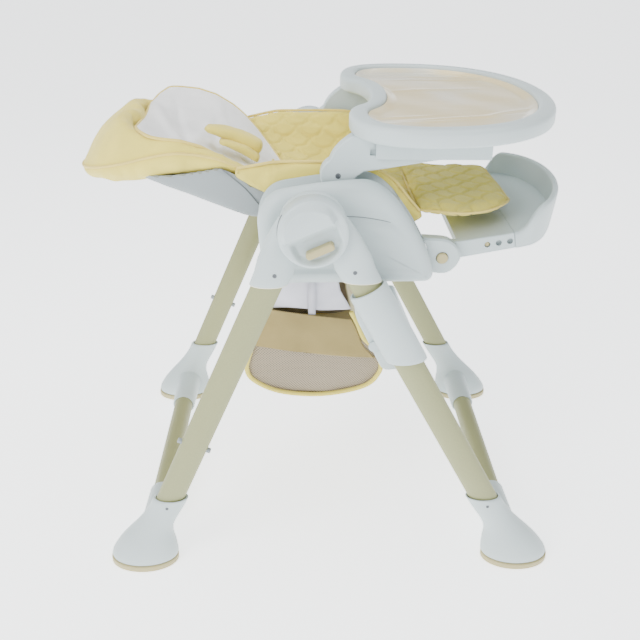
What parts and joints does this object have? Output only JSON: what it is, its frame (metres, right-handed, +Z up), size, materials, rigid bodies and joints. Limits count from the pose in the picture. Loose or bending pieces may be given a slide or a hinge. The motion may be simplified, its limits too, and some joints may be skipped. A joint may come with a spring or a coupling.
{
  "type": "baby high chair",
  "caption": "Folding baby high chair with A-shaped legs, reclining padded backrest, height sliders, calf rest with footrest, basket and removable tray.",
  "frame": {"origin": "on the floor, below the middle of the chair's outline", "axes": "+X towards the front of the chair (footrest side), +Y towards the child's left, +Z up"},
  "size_m": [0.7996, 0.622, 0.755],
  "materials": {
    "white_plastic": "satin moulded plastic, pale blue-grey white",
    "grey_plastic": "satin moulded plastic, pale grey",
    "cream_paint": "satin powder coat, cream",
    "beige_plastic": "satin moulded plastic, beige",
    "honey_plastic": "glossy under a clear film, warm beige",
    "yellow_fabric": "quilted pale yellow cloth",
    "white_fabric": "smooth off-white knit",
    "webbing": "woven strap",
    "steel": "plain steel"
  },
  "bodies": {
    "front_frame": {"front_leg_left": "cream_paint", "front_leg_right": "cream_paint", "front_cross_tube": "cream_paint", "front_foot_left": "white_plastic", "front_foot_right": "white_plastic", "front_sole_left": "beige_plastic", "front_sole_right": "beige_plastic", "front_hub_left": "white_plastic", "front_hub_right": "white_plastic", "pivot_pin_left": "steel", "pivot_pin_right": "steel"},
    "rear_frame": {"rear_leg_left": "cream_paint", "rear_leg_right": "cream_paint", "rear_cross_tube": "cream_paint", "rear_foot_left": "white_plastic", "rear_foot_right": "white_plastic", "rear_sole_left": "beige_plastic", "rear_sole_right": "beige_plastic", "rear_hub_left": "white_plastic", "rear_hub_right": "white_plastic", "tray_hook_left": "grey_plastic", "tray_hook_right": "grey_plastic"},
    "seat": {"side_panel_left": "white_plastic", "side_panel_right": "white_plastic", "seat_pan": "grey_plastic", "height_slider_left": "white_plastic", "height_slider_right": "white_plastic", "seat_cushion": "yellow_fabric", "crotch_strap": "webbing", "harness_buckle": "grey_plastic", "storage_basket": "yellow_fabric", "recline_pin_left": "steel", "recline_pin_right": "steel", "calf_bracket_left": "white_plastic", "calf_bracket_right": "white_plastic", "arm_pin_left": "steel", "arm_pin_right": "steel"},
    "height_lock_left": {"height_lock_left": "beige_plastic"},
    "height_lock_right": {"height_lock_right": "beige_plastic"},
    "fold_button_left": {"fold_button_left": "beige_plastic"},
    "fold_button_right": {"fold_button_right": "beige_plastic"},
    "backrest": {"backrest_shell": "grey_plastic", "backrest_pad": "yellow_fabric", "body_liner": "white_fabric", "shoulder_pad_left": "yellow_fabric", "shoulder_pad_right": "yellow_fabric"},
    "recline_lever": {"recline_lever": "grey_plastic"},
    "calf_rest": {"calf_frame": "white_plastic", "calf_pad": "yellow_fabric"},
    "calf_button_left": {"calf_button_left": "beige_plastic"},
    "calf_button_right": {"calf_button_right": "beige_plastic"},
    "footrest": {"footrest": "white_plastic"},
    "footrest_pin_left": {"footrest_pin_left": "beige_plastic"},
    "footrest_pin_right": {"footrest_pin_right": "beige_plastic"},
    "tray_arms": {"tray_arm_left": "white_plastic", "tray_arm_right": "white_plastic"},
    "tray": {"tray": "white_plastic"},
    "tray_insert": {"tray_insert": "honey_plastic"},
    "tray_latch": {"tray_latch": "grey_plastic"}
  },
  "joints": [
    {"name": "frame_fold", "type": "hinge", "parent": "front_frame", "child": "rear_frame", "pos_m": [-0.01716, 0, 0.615], "axis": [0, -1, 0], "range_deg": [0, 45]},
    {"name": "seat_height", "type": "slide", "parent": "front_frame", "child": "seat", "axis": [0.4787, 0, -0.878], "range_m": [0, 0.155]},
    {"name": "backrest_recline", "type": "hinge", "parent": "seat", "child": "backrest", "pos_m": [-0.07916, 0, 0.605], "axis": [0, 1, 0], "range_deg": [0, 45]},
    {"name": "recline_lever_pull", "type": "slide", "parent": "backrest", "child": "recline_lever", "axis": [-1, 0, 0], "range_m": [0, 0.006], "stiffness_N_per_m": 400},
    {"name": "calf_rest_fold", "type": "hinge", "parent": "seat", "child": "calf_rest", "pos_m": [0.18684, 0, 0.534], "axis": [0, 1, 0], "range_deg": [0, 75]},
    {"name": "footrest_slide", "type": "slide", "parent": "calf_rest", "child": "footrest", "axis": [0.9857, 0, 0.1685], "range_m": [0, 0.036]},
    {"name": "tray_arms_lift", "type": "hinge", "parent": "seat", "child": "tray_arms", "pos_m": [0.02084, 0, 0.667], "axis": [0, -1, 0], "range_deg": [0, 72]},
    {"name": "tray_slide", "type": "slide", "parent": "tray_arms", "child": "tray", "axis": [1, 0, 0], "range_m": [-0.03, 0.06]},
    {"name": "tray_insert_lift", "type": "slide", "parent": "tray", "child": "tray_insert", "axis": [0, 0, 1], "range_m": [0, 0.08]},
    {"name": "tray_latch_pull", "type": "slide", "parent": "tray", "child": "tray_latch", "axis": [1, 0, 0], "range_m": [0, 0.006], "stiffness_N_per_m": 400},
    {"name": "fold_button_left_press", "type": "slide", "parent": "front_frame", "child": "fold_button_left", "axis": [0, -1, 0], "range_m": [0, 0.004], "stiffness_N_per_m": 400},
    {"name": "height_lock_left_pull", "type": "slide", "parent": "seat", "child": "height_lock_left", "axis": [0, 1, 0], "range_m": [0, 0.004], "stiffness_N_per_m": 400},
    {"name": "calf_button_left_press", "type": "slide", "parent": "seat", "child": "calf_button_left", "axis": [0, -1, 0], "range_m": [0, 0.004], "stiffness_N_per_m": 400},
    {"name": "footrest_pin_left_press", "type": "slide", "parent": "footrest", "child": "footrest_pin_left", "axis": [0, -1, 0], "range_m": [0, 0.005], "stiffness_N_per_m": 300},
    {"name": "fold_button_right_press", "type": "slide", "parent": "front_frame", "child": "fold_button_right", "axis": [0, 1, 0], "range_m": [0, 0.004], "stiffness_N_per_m": 400},
    {"name": "height_lock_right_pull", "type": "slide", "parent": "seat", "child": "height_lock_right", "axis": [0, -1, 0], "range_m": [0, 0.004], "stiffness_N_per_m": 400},
    {"name": "calf_button_right_press", "type": "slide", "parent": "seat", "child": "calf_button_right", "axis": [0, 1, 0], "range_m": [0, 0.004], "stiffness_N_per_m": 400},
    {"name": "footrest_pin_right_press", "type": "slide", "parent": "footrest", "child": "footrest_pin_right", "axis": [0, 1, 0], "range_m": [0, 0.005], "stiffness_N_per_m": 300}
  ]
}
